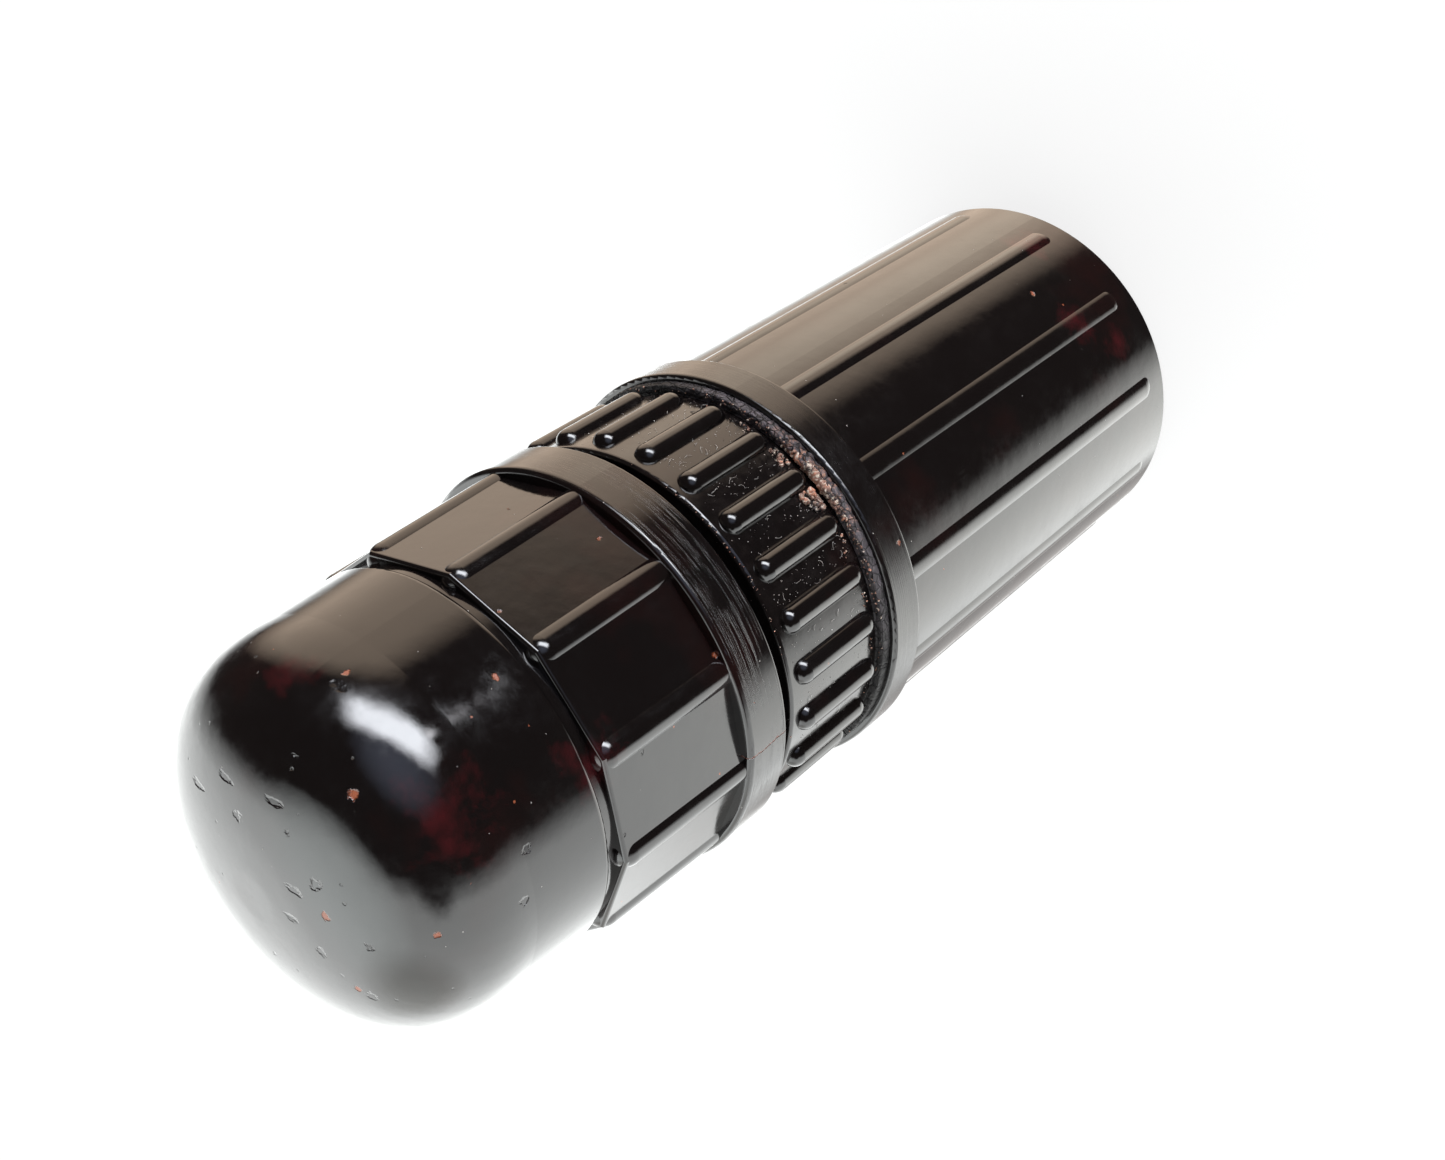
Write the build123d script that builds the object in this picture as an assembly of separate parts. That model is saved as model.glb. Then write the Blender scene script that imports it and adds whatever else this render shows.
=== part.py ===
from build123d import *
import math
import os

# A cylindrical daylight film developing tank, standing on its base, all sizes in millimetres.
# The axis is Z. The base is at Z = 0 and the rounded cap is at the top.

# Heights along the axis
TANK_TOP = 66.6
FLANGE_LOW = 61.5
GASKET_TOP = 67.8
COLLAR_TOP = 83.5
NECK_TOP = 98.0
CAP_LOW = 86.0
BAND_TOP = 92.2
PANEL_TOP = 110.3
DOME_LOW = 111.4
DOME_TOP = 137.3

# Tank body
BODY_R = 24.55
BODY_RIB_COUNT = 12
BODY_RIB_R = 2.8
BODY_RIB_CREST_R = 24.9
BODY_RIB_LOW = 2.4
BODY_RIB_TURN = -8.8
FLANGE_R = 25.65
TANK_BORE_R = 21.9
TANK_FLOOR = 3.0
RIM_CHAMFER = 0.5

# Head collar
COLLAR_R = 23.7
COLLAR_RIB_COUNT = 24
COLLAR_RIB_R = 1.65
COLLAR_RIB_CREST_R = 24.9
COLLAR_RIB_LOW = 68.3
COLLAR_RIB_TOP = 82.3
SPIGOT_LOW = 58.2
SPIGOT_R = 20.5
SPIGOT_BORE_R = 18.8
NECK_R = 20.5
NECK_BORE_R = 18.3
NECK_BORE_LOW = 70.0
DECK_LOW = 94.6
SLOT_COUNT = 3
SLOT_INNER_R = 11.8
SLOT_OUTER_R = 17.8
SLOT_ANGLE = 84

# Cap
BAND_R = 25.0
BAND_LOW_EDGE = 0.3
BAND_TOP_EDGE = 0.7
PANEL_COUNT = 12
PANEL_CORNER_R = 24.25
PANEL_TAPER = 1.6
PANEL_EDGE = 0.45
PANEL_RIB_R = 2.0
PANEL_RIB_CREST_R = 24.55
PANEL_RIB_LOW = 89.4
PANEL_RIB_TOP = 110.7
GROOVE_R = 22.3
DOME_R = 22.85
DOME_EDGE = 0.8
DOME_NECK_R = 22.4
DOME_ROUND_LOW = 121.5
DOME_POWER = 2.6
DOME_STEPS = 14
CAP_BORE_R = 21.9
CAP_SHOULDER = 100.0
CAP_INNER_R = 19.4
CAP_INNER_NECK_R = 19.1
CAP_WALL = 2.8

# Screw threads, one right-handed start each
THREAD_LEAD = 4.0
THREAD_TURNS = 1.5
THREAD_DEPTH = 1.0
THREAD_ROOT_HALF = 0.8
THREAD_CREST_HALF = 0.4
THREAD_BITE = 0.3
HEAD_THREAD_LOW = 59.4
CAP_THREAD_LOW = 89.0

# How far a cutting or joining body reaches past the faces it crosses
CUT = 1.0

# Free play left at the faces of washers and at the foot of the spindle
WASHER_PLAY = 0.1
SPINDLE_FOOT_PLAY = 0.4

# Film drum
DRUM_LOW = 8.0
DRUM_TOP = 66.0
DRUM_R = 16.4
DRUM_BORE_R = 14.4
LEDGE_R = 18.2
LEDGE_HALF = 0.7
LEDGE_CREST_HALF = 0.45
LEDGE_LEAD = 10.7
LEDGE_LOW = 9.4
LEDGE_TURNS = 5.15
WINDOW_COLUMNS = 6
WINDOW_ROWS = 4
WINDOW_HEIGHT = 6.0
WINDOW_WIDTH = 11.0
WINDOW_DEPTH = 8.0
DISC_THICK = 2.0
DISC_WINDOW_COUNT = 4
DISC_WINDOW_INNER_R = 6.6
DISC_WINDOW_OUTER_R = 13.0
DISC_WINDOW_ANGLE = 64

# Spindle and its bearings
SPINDLE_R = 4.2
SPINDLE_BORE_R = 3.0
SPINDLE_TOP = 110.6
SPINDLE_STOP_R = 6.5
SPINDLE_STOP_LOW = 92.4
SPINDLE_STOP_TOP = 94.4
RUNNING_GAP = 0.05
BUSH_R = 6.0
BUSH_FLANGE_R = 8.5
BUSH_FLANGE_THICK = 0.7
PIVOT_R = 3.0
PIVOT_LOW = 3.6
PIVOT_BUSH_R = 5.2
PIVOT_BUSH_TOP = 5.6

# Light-trap baffle
BAFFLE_LOW = 91.0
BAFFLE_THICK = 1.4
BAFFLE_R = 17.6
BAFFLE_BORE_R = 8.0
BAFFLE_POST_TURN = 60
BAFFLE_POST_R = 1.2
BAFFLE_POST_CIRCLE_R = 15.6

# Winding knob
KNOB_LOW = 99.6
KNOB_TOP = 107.6
KNOB_R = 11.0
KNOB_EDGE = 1.2
KNOB_GRIP_COUNT = 20
KNOB_GRIP_R = 0.8
GRIP_OFFSET = 0.2
SPINDLE_WASHER_R = 7.5
NUT_THICK = 3.0
NUT_R = 6.4

# Thermometer
STOPPER_LOW = 111.6
STOPPER_TOP = 118.4
STOPPER_R = 6.2
STOPPER_EDGE = 0.8
STOPPER_WASHER_R = 5.4
STOPPER_GRIP_COUNT = 16
STOPPER_GRIP_R = 0.6
STOPPER_SHANK_R = 2.94
STOPPER_SHANK_LOW = 104.0
GLASS_R = 2.3
GLASS_WALL = 0.4
GLASS_LOW = 14.0
SCALE_WIDTH = 3.2
SCALE_THICK = 0.3
COLUMN_R = 0.45
COLUMN_TOP = 70.0
BULB_R = 1.5
BULB_RISE = 1.0
SCALE_RISE = 4.0

# Film clip
CLIP_TURN = 25.0
CLIP_ROW = 2
CLIP_PIN_R = 0.8
CLIP_EYE_R = 1.5
CLIP_LENGTH = 9.0
CLIP_HEIGHT = 6.0
CLIP_THICK = 1.0
CLIP_WINDOW_WIDTH = 13.6
CLIP_WINDOW_HEIGHT = 7.0

GASKET_INNER_R = 20.9
GASKET_OUTER_R = 25.2
CAP_WASHER_INNER_R = 18.7
CAP_WASHER_OUTER_R = 21.5


def rod(radius, low, high):
    """A plain round rod between two heights."""
    return Pos(0, 0, low) * Cylinder(radius, high - low, align=(Align.CENTER, Align.CENTER, Align.MIN))


def ring(outer_r, inner_r, low, high):
    """A plain round ring between two heights."""
    return rod(outer_r, low, high) - rod(inner_r, low - CUT, high + CUT)


def rounded_rib(crest_r, rib_r, low, high, lean=0.0):
    """One grip rib: a round bar with ball ends, leaning in towards the axis as it rises."""
    centre_r = crest_r - rib_r
    length = high - low - 2 * rib_r
    bar = rod(rib_r, 0, length)
    bar += Sphere(rib_r)
    bar += Pos(0, 0, length) * Sphere(rib_r)
    return Pos(centre_r, 0, low + rib_r) * Rot(0, -lean, 0) * bar


def rib_circle(rib, count, turn=0.0):
    """Copies of one rib spaced evenly around the axis."""
    return [Rot(0, 0, turn + 360 / count * index) * rib for index in range(count)]


def helical_ridge(root_r, crest_r, low, lead, turns, root_half, crest_half):
    """A helical ridge of trapezium section; the crest may lie inside or outside the root."""
    path = Helix(pitch=lead, height=lead * turns, radius=root_r, center=(0, 0, low))
    depth = crest_r - root_r
    section_plane = Plane(origin=path @ 0, x_dir=(1, 0, 0), z_dir=path % 0)
    corners = [(0, -root_half), (depth, -crest_half), (depth, crest_half), (0, root_half)]
    section = section_plane * make_face(Polyline(corners, close=True))
    return sweep(section, path=path, is_frenet=True)


def sector(inner_r, outer_r, angle, low, high):
    """A ring segment centred on the X axis."""
    half = math.radians(angle / 2)
    reach = outer_r * 2
    wedge = Polygon((0, 0), (reach * math.cos(half), -reach * math.sin(half)),
                    (reach * math.cos(half), reach * math.sin(half)), align=None)
    segment = (Circle(outer_r) - Circle(inner_r)) & wedge
    return Pos(0, 0, low) * extrude(segment, amount=high - low)


def build_tank_body():
    """Round cup with long low ribs and a wider flange at the mouth."""
    barrel = rod(BODY_R, 0, FLANGE_LOW + CUT)
    barrel = chamfer(barrel.edges().group_by(Axis.Z)[0], RIM_CHAMFER)
    rib = rounded_rib(BODY_RIB_CREST_R, BODY_RIB_R, BODY_RIB_LOW, FLANGE_LOW + BODY_RIB_R)
    ribs = rib_circle(rib, BODY_RIB_COUNT, BODY_RIB_TURN)
    flange = rod(FLANGE_R, FLANGE_LOW, TANK_TOP)
    flange = fillet(flange.edges().filter_by(GeomType.CIRCLE), RIM_CHAMFER)
    body = barrel + ribs + flange
    body -= rod(TANK_BORE_R, TANK_FLOOR, TANK_TOP + CUT)
    thread = helical_ridge(TANK_BORE_R + THREAD_BITE, TANK_BORE_R - THREAD_DEPTH, HEAD_THREAD_LOW,
                           THREAD_LEAD, THREAD_TURNS, THREAD_ROOT_HALF, THREAD_CREST_HALF)
    return body + Rot(0, 0, 180) * thread


def build_pivot_bush():
    """Short bearing bush fixed on the tank floor for the drum's lower pivot."""
    return ring(PIVOT_BUSH_R, PIVOT_R + RUNNING_GAP, TANK_FLOOR, PIVOT_BUSH_TOP)


def build_flange_gasket():
    """Flat sealing ring between the tank flange and the head collar."""
    return ring(GASKET_OUTER_R, GASKET_INNER_R, TANK_TOP, GASKET_TOP)


def build_head_collar():
    """Ribbed collar with a threaded spigot below, a threaded neck above and a slotted deck."""
    collar = rod(COLLAR_R, GASKET_TOP, COLLAR_TOP)
    collar = fillet(collar.edges().group_by(Axis.Z)[-1], RIM_CHAMFER)
    rib = rounded_rib(COLLAR_RIB_CREST_R, COLLAR_RIB_R, COLLAR_RIB_LOW, COLLAR_RIB_TOP)
    ribs = rib_circle(rib, COLLAR_RIB_COUNT)
    neck = rod(NECK_R, COLLAR_TOP - CUT, NECK_TOP)
    neck = chamfer(neck.edges().group_by(Axis.Z)[-1], RIM_CHAMFER)
    head = collar + ribs + neck + rod(SPIGOT_R, SPIGOT_LOW, GASKET_TOP + CUT)
    head -= rod(SPIGOT_BORE_R, SPIGOT_LOW - CUT, NECK_BORE_LOW)
    head -= rod(NECK_BORE_R, NECK_BORE_LOW - CUT, DECK_LOW)
    head -= rod(BUSH_R, DECK_LOW - CUT, NECK_TOP + CUT)
    slot = sector(SLOT_INNER_R, SLOT_OUTER_R, SLOT_ANGLE, DECK_LOW - CUT, NECK_TOP + CUT)
    for index in range(SLOT_COUNT):
        head -= Rot(0, 0, 360 / SLOT_COUNT * index) * slot
    ridge_r = SPIGOT_R - THREAD_BITE
    lower = helical_ridge(ridge_r, SPIGOT_R + THREAD_DEPTH, HEAD_THREAD_LOW, THREAD_LEAD,
                          THREAD_TURNS, THREAD_ROOT_HALF, THREAD_CREST_HALF)
    upper = helical_ridge(ridge_r, NECK_R + THREAD_DEPTH, CAP_THREAD_LOW, THREAD_LEAD,
                          THREAD_TURNS, THREAD_ROOT_HALF, THREAD_CREST_HALF)
    return head + lower + upper


def build_head_bush():
    """Flanged bearing bush in the middle of the deck."""
    sleeve = rod(BUSH_R, DECK_LOW, NECK_TOP)
    sleeve += rod(BUSH_FLANGE_R, NECK_TOP, NECK_TOP + BUSH_FLANGE_THICK)
    return sleeve - rod(SPINDLE_R + RUNNING_GAP, DECK_LOW - CUT, NECK_TOP + BUSH_FLANGE_THICK + CUT)


def build_light_baffle():
    """Thin disc on three posts under the deck; it stops a straight light path through the slots."""
    disc = ring(BAFFLE_R, BAFFLE_BORE_R, BAFFLE_LOW, BAFFLE_LOW + BAFFLE_THICK)
    post = Pos(BAFFLE_POST_CIRCLE_R, 0, 0) * rod(BAFFLE_POST_R, BAFFLE_LOW + BAFFLE_THICK, DECK_LOW)
    for index in range(SLOT_COUNT):
        disc += Rot(0, 0, BAFFLE_POST_TURN + 360 / SLOT_COUNT * index) * post
    return disc


def build_cap_washer():
    """Flat sealing washer inside the cap, above the rim of the neck."""
    low = NECK_TOP + WASHER_PLAY
    return ring(CAP_WASHER_OUTER_R, CAP_WASHER_INNER_R, low, CAP_SHOULDER - WASHER_PLAY)


def dome_outline(side_r, top_r, low, round_low, top):
    """Half section of a flattened dome whose side draws in slightly before it rounds over."""
    points = []
    for step in range(DOME_STEPS + 1):
        angle = math.pi / 2 * step / DOME_STEPS
        across = top_r * math.cos(angle) ** (2 / DOME_POWER)
        height = round_low + (top - round_low) * math.sin(angle) ** (2 / DOME_POWER)
        points.append((across, height))
    side = Line((side_r, low), points[0])
    crown = Spline(points, tangents=[(0, 1), (-1, 0)])
    outline = side + crown + Line((0, top), (0, low)) + Line((0, low), (side_r, low))
    return Plane.XZ * make_face(outline)


def build_dome_cap():
    """Screw cap: smooth band, twelve flat panels with ribs on the corners, groove and dome."""
    band = rod(BAND_R, CAP_LOW, BAND_TOP)
    band = fillet(band.edges().group_by(Axis.Z)[0], BAND_LOW_EDGE)
    band = fillet(band.edges().group_by(Axis.Z)[-1], BAND_TOP_EDGE)
    outline = RegularPolygon(PANEL_CORNER_R, PANEL_COUNT)
    prism = extrude(outline, amount=PANEL_TOP - BAND_TOP, taper=PANEL_TAPER)
    prism = Pos(0, 0, BAND_TOP) * fillet(prism.edges().group_by(Axis.Z)[-1], PANEL_EDGE)
    rib = rounded_rib(PANEL_RIB_CREST_R, PANEL_RIB_R, PANEL_RIB_LOW, PANEL_RIB_TOP, PANEL_TAPER)
    dome = revolve(dome_outline(DOME_R, DOME_NECK_R, DOME_LOW, DOME_ROUND_LOW, DOME_TOP), Axis.Z)
    dome = fillet(dome.edges().group_by(Axis.Z)[0], DOME_EDGE)
    cap = band + rod(GROOVE_R, CAP_LOW + CUT, DOME_LOW + CUT) + prism
    cap += rib_circle(rib, PANEL_COUNT)
    cap += dome
    hollow_top = DOME_TOP - CAP_WALL
    hollow = dome_outline(CAP_INNER_R, CAP_INNER_NECK_R, CAP_SHOULDER - CUT, DOME_ROUND_LOW, hollow_top)
    cap -= revolve(hollow, Axis.Z)
    cap -= rod(CAP_BORE_R, CAP_LOW - CUT, CAP_SHOULDER)
    thread = helical_ridge(CAP_BORE_R + THREAD_BITE, CAP_BORE_R - THREAD_DEPTH, CAP_THREAD_LOW,
                           THREAD_LEAD, THREAD_TURNS, THREAD_ROOT_HALF, THREAD_CREST_HALF)
    return cap + Rot(0, 0, 180) * thread


def build_spiral_drum():
    """Open drum with a helical ledge; the film lies between the turns of the ledge."""
    drum = ring(DRUM_R, DRUM_BORE_R, DRUM_LOW, DRUM_TOP)
    mid_r = (DRUM_R + DRUM_BORE_R) / 2
    for row in range(WINDOW_ROWS):
        for column in range(WINDOW_COLUMNS):
            turn = 360 / WINDOW_COLUMNS * column + CLIP_TURN
            height = LEDGE_LOW + LEDGE_LEAD * (row + turn / 360 + 0.5)
            window = Box(WINDOW_DEPTH, WINDOW_WIDTH, WINDOW_HEIGHT)
            if row == CLIP_ROW and column == 0:
                window = Box(WINDOW_DEPTH, CLIP_WINDOW_WIDTH, CLIP_WINDOW_HEIGHT)
            drum -= Rot(0, 0, turn) * Pos(mid_r, 0, height) * window
    ledge = helical_ridge(DRUM_R - THREAD_BITE, LEDGE_R, LEDGE_LOW, LEDGE_LEAD, LEDGE_TURNS,
                          LEDGE_HALF, LEDGE_CREST_HALF)
    return drum + ledge


def spoked_disc(low, high):
    """Disc with four windows that lets developer pass along the drum."""
    disc = ring(DRUM_BORE_R, SPINDLE_R, low, high)
    window = sector(DISC_WINDOW_INNER_R, DISC_WINDOW_OUTER_R, DISC_WINDOW_ANGLE, low - CUT, high + CUT)
    for index in range(DISC_WINDOW_COUNT):
        disc -= Rot(0, 0, 360 / DISC_WINDOW_COUNT * index) * window
    return disc


def build_drum_top_disc():
    """Spoked disc that centres the top of the drum on the spindle."""
    return spoked_disc(DRUM_TOP - DISC_THICK, DRUM_TOP)


def build_drum_bottom_disc():
    """Spoked disc at the foot of the drum."""
    return spoked_disc(DRUM_LOW, DRUM_LOW + DISC_THICK)


def build_drum_spindle():
    """Central tube, closed below by a pivot pin, with a stop collar under the deck."""
    spindle = rod(SPINDLE_R, PIVOT_BUSH_TOP + SPINDLE_FOOT_PLAY, SPINDLE_TOP)
    spindle += rod(SPINDLE_STOP_R, SPINDLE_STOP_LOW, SPINDLE_STOP_TOP)
    spindle += rod(PIVOT_R, PIVOT_LOW, PIVOT_BUSH_TOP + CUT)
    return spindle - rod(SPINDLE_BORE_R, DRUM_LOW + DISC_THICK, SPINDLE_TOP + CUT)


def build_spindle_washer():
    """Thin washer between the bush flange and the winding knob."""
    low = NECK_TOP + BUSH_FLANGE_THICK + WASHER_PLAY
    return ring(SPINDLE_WASHER_R, SPINDLE_R, low, KNOB_LOW)


def build_winding_knob():
    """Grip knob that turns the drum."""
    knob = rod(KNOB_R, KNOB_LOW, KNOB_TOP)
    knob = fillet(knob.edges().group_by(Axis.Z)[-1], KNOB_EDGE)
    knob = chamfer(knob.edges().group_by(Axis.Z)[0], RIM_CHAMFER)
    groove = Pos(KNOB_R + GRIP_OFFSET, 0, 0) * rod(KNOB_GRIP_R, KNOB_LOW - CUT, KNOB_TOP + CUT)
    for index in range(KNOB_GRIP_COUNT):
        knob -= Rot(0, 0, 360 / KNOB_GRIP_COUNT * index) * groove
    return knob - rod(SPINDLE_R, KNOB_LOW - CUT, KNOB_TOP + CUT)


def build_knob_nut():
    """Hexagonal nut that holds the knob on the spindle."""
    nut = Pos(0, 0, KNOB_TOP) * extrude(RegularPolygon(NUT_R, 6), amount=NUT_THICK)
    return nut - rod(SPINDLE_R, KNOB_TOP - CUT, KNOB_TOP + NUT_THICK + CUT)


def build_stopper():
    """Thermometer stopper: a grip head with a shank that runs in the spindle."""
    head = rod(STOPPER_R, STOPPER_LOW, STOPPER_TOP)
    head = fillet(head.edges().filter_by(GeomType.CIRCLE), STOPPER_EDGE)
    groove = Pos(STOPPER_R + GRIP_OFFSET, 0, 0) * rod(STOPPER_GRIP_R, STOPPER_LOW - CUT, STOPPER_TOP + CUT)
    for index in range(STOPPER_GRIP_COUNT):
        head -= Rot(0, 0, 360 / STOPPER_GRIP_COUNT * index) * groove
    stopper = head + rod(STOPPER_SHANK_R, STOPPER_SHANK_LOW, STOPPER_LOW + CUT)
    return stopper - rod(GLASS_R, STOPPER_SHANK_LOW - CUT, STOPPER_LOW)


def build_stopper_washer():
    """Soft washer under the head of the thermometer stopper."""
    return ring(STOPPER_WASHER_R, STOPPER_SHANK_R, SPINDLE_TOP + WASHER_PLAY, STOPPER_LOW)


def build_glass_tube():
    """Glass thermometer tube with a rounded, closed lower end."""
    tube = rod(GLASS_R, GLASS_LOW + GLASS_R, STOPPER_LOW)
    tube += Pos(0, 0, GLASS_LOW + GLASS_R) * Sphere(GLASS_R)
    bore_r = GLASS_R - GLASS_WALL
    bore = rod(bore_r, GLASS_LOW + GLASS_R, STOPPER_LOW + CUT)
    bore += Pos(0, 0, GLASS_LOW + GLASS_R) * Sphere(bore_r)
    return tube - bore


def build_thermometer_column():
    """Liquid column and bulb inside the glass."""
    bulb_z = GLASS_LOW + GLASS_R + BULB_RISE
    column = Pos(0, SCALE_THICK / 2 + COLUMN_R, 0) * rod(COLUMN_R, bulb_z, COLUMN_TOP)
    bulb = Pos(0, 0, bulb_z) * Sphere(BULB_R)
    return column + bulb


def build_thermometer_scale():
    """Narrow scale strip behind the liquid column."""
    low = GLASS_LOW + GLASS_R + SCALE_RISE
    return Pos(0, 0, low) * Box(SCALE_WIDTH, SCALE_THICK, STOPPER_LOW - low,
                                align=(Align.CENTER, Align.CENTER, Align.MIN))


def clip_frame():
    """The film clip's own frame: X points out from the axis, Y runs along the drum wall."""
    height = LEDGE_LOW + LEDGE_LEAD * (CLIP_ROW + CLIP_TURN / 360 + 0.5)
    mid_r = (DRUM_R + DRUM_BORE_R) / 2
    return Rot(0, 0, CLIP_TURN) * Pos(mid_r, -CLIP_LENGTH / 2, height)


def build_film_clip():
    """Spring clip arm with an eye round its pin; it nips the film end against the drum."""
    centred = (Align.CENTER, Align.CENTER, Align.CENTER)
    eye = Cylinder(CLIP_EYE_R, CLIP_HEIGHT, align=centred)
    arm = Pos(0, CLIP_LENGTH / 2, 0) * Box(CLIP_THICK, CLIP_LENGTH, CLIP_HEIGHT, align=centred)
    clip = eye + arm - Cylinder(CLIP_PIN_R + RUNNING_GAP, CLIP_HEIGHT + 2 * CUT, align=centred)
    return clip_frame() * clip


def build_clip_pin():
    """Pin of the film clip, held above and below in the drum wall."""
    return clip_frame() * Cylinder(CLIP_PIN_R, CLIP_WINDOW_HEIGHT)


PARTS = {
    "tank_body": build_tank_body,
    "pivot_bush": build_pivot_bush,
    "flange_gasket": build_flange_gasket,
    "head_collar": build_head_collar,
    "head_bush": build_head_bush,
    "light_baffle": build_light_baffle,
    "cap_washer": build_cap_washer,
    "dome_cap": build_dome_cap,
    "spiral_drum": build_spiral_drum,
    "drum_top_disc": build_drum_top_disc,
    "drum_bottom_disc": build_drum_bottom_disc,
    "drum_spindle": build_drum_spindle,
    "spindle_washer": build_spindle_washer,
    "winding_knob": build_winding_knob,
    "knob_nut": build_knob_nut,
    "clip_pin": build_clip_pin,
    "film_clip": build_film_clip,
    "thermometer_stopper": build_stopper,
    "stopper_washer": build_stopper_washer,
    "thermometer_glass": build_glass_tube,
    "thermometer_column": build_thermometer_column,
    "thermometer_scale": build_thermometer_scale,
}

os.makedirs("parts", exist_ok=True)
for node, build in PARTS.items():
    shape = build()
    export_step(shape, f"parts/{node}.step")
    box = shape.bounding_box()
    print(node, "solids", len(shape.solids()), "volume", round(shape.volume, 1),
          "low", [round(value, 2) for value in tuple(box.min)],
          "high", [round(value, 2) for value in tuple(box.max)])
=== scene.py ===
import math
import random

import bmesh
import bpy
from mathutils import Matrix, Vector, noise


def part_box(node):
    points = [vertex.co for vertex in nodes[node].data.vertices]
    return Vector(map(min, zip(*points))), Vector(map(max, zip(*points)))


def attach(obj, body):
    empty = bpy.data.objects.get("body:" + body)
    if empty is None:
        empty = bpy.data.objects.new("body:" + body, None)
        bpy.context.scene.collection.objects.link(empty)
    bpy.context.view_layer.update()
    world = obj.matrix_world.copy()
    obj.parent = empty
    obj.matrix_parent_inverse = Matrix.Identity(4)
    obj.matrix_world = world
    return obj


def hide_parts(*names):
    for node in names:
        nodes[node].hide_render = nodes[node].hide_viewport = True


# Film developing tank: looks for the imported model. The tank stands on its base, +Z towards
# the rounded cap. MM turns millimetres into metres; material nodes work in millimetres.
MM = 0.001

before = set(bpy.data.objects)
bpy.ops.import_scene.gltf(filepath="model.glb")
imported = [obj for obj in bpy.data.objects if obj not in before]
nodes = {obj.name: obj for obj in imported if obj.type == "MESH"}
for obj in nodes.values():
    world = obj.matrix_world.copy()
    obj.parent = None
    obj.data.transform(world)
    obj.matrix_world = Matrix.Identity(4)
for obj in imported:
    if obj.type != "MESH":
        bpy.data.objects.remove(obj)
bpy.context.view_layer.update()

# Heights and radii in millimetres, read from the imported model, except the collar's rib rise and height,
# which are given.
gasket_low, gasket_high = [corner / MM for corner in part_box("flange_gasket")]
collar_low, collar_high = [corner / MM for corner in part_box("head_collar")]
tank_low, tank_high = [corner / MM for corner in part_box("tank_body")]
cap_low, cap_high = [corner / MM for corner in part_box("dome_cap")]
GASKET_BOTTOM = gasket_low.z
GASKET_TOP = gasket_high.z
GASKET_R = gasket_high.x
FLANGE_R = tank_high.x
COLLAR_CREST_R = collar_high.x
COLLAR_RIB_RISE = 1.2
COLLAR_HEIGHT = 15.7
COLLAR_R = COLLAR_CREST_R - COLLAR_RIB_RISE
COLLAR_TOP = GASKET_TOP + COLLAR_HEIGHT
CAP_BOTTOM = cap_low.z
CAP_CROWN = cap_high.z
RIB_COUNT = 24

# Where the seal has crumbled worst, and how far round that reaches.
WORST_TURN = math.radians(-33.0)
WORST_SPREAD = math.radians(17.0)


# ---------------------------------------------------------------- node helpers
def new_material(name):
    """An empty node material with its output and a Principled shader, joined."""
    material = bpy.data.materials.new(name)
    material.use_nodes = True
    tree = material.node_tree
    tree.nodes.clear()
    output = tree.nodes.new("ShaderNodeOutputMaterial")
    shader = tree.nodes.new("ShaderNodeBsdfPrincipled")
    tree.links.new(shader.outputs["BSDF"], output.inputs["Surface"])
    return material, tree, shader


def set_inputs(node, **values):
    """Sets sockets by name; underscores stand for spaces."""
    for key, value in values.items():
        node.inputs[key.replace("_", " ")].default_value = value


def feed(tree, value, socket):
    """Puts a number, a colour or another node's output into a socket."""
    if isinstance(value, (int, float)):
        socket.default_value = value
    elif isinstance(value, tuple):
        socket.default_value = (*value, 1.0)
    else:
        tree.links.new(value, socket)


def coordinates(tree, scale=(1.0, 1.0, 1.0), spin=(0.0, 0.0, 0.0)):
    """Object coordinates in millimetres, optionally stretched and turned."""
    source = tree.nodes.new("ShaderNodeTexCoord")
    mapping = tree.nodes.new("ShaderNodeMapping")
    mapping.inputs["Scale"].default_value = [value / MM for value in scale]
    mapping.inputs["Rotation"].default_value = [math.radians(value) for value in spin]
    tree.links.new(source.outputs["Object"], mapping.inputs["Vector"])
    return mapping.outputs["Vector"]


def vector_node(tree, operation, first, second):
    """One Vector Math node; its number if it gives one, else its vector."""
    node = tree.nodes.new("ShaderNodeVectorMath")
    node.operation = operation
    tree.links.new(first, node.inputs[0])
    if isinstance(second, Vector):
        node.inputs[1].default_value = second
    else:
        tree.links.new(second, node.inputs[1])
    gives_number = operation in ("DOT_PRODUCT", "DISTANCE")
    return node.outputs["Value"] if gives_number else node.outputs["Vector"]


def noise_value(tree, vector, scale, detail=3.0, roughness=0.55, distortion=0.0):
    """Noise factor; scale is in cycles per millimetre."""
    node = tree.nodes.new("ShaderNodeTexNoise")
    set_inputs(node, Scale=scale, Detail=detail, Roughness=roughness, Distortion=distortion)
    tree.links.new(vector, node.inputs["Vector"])
    return node.outputs["Fac"]


def ramp(tree, value, low, high, out_low=0.0, out_high=1.0):
    """Straight-line map of a value, clamped at both ends."""
    node = tree.nodes.new("ShaderNodeMapRange")
    node.clamp = True
    node.inputs["From Min"].default_value = low
    node.inputs["From Max"].default_value = high
    node.inputs["To Min"].default_value = out_low
    node.inputs["To Max"].default_value = out_high
    tree.links.new(value, node.inputs["Value"])
    return node.outputs["Result"]


def math_node(tree, operation, first, second=0.5):
    """One Math node with numbers or outputs for its two inputs."""
    node = tree.nodes.new("ShaderNodeMath")
    node.operation = operation
    feed(tree, first, node.inputs[0])
    feed(tree, second, node.inputs[1])
    return node.outputs[0]


def product(tree, first, *others):
    """Product of several values."""
    for other in others:
        first = math_node(tree, "MULTIPLY", first, other)
    return first


def highest(tree, first, *others):
    """Largest of several values."""
    for other in others:
        first = math_node(tree, "MAXIMUM", first, other)
    return first


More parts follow.
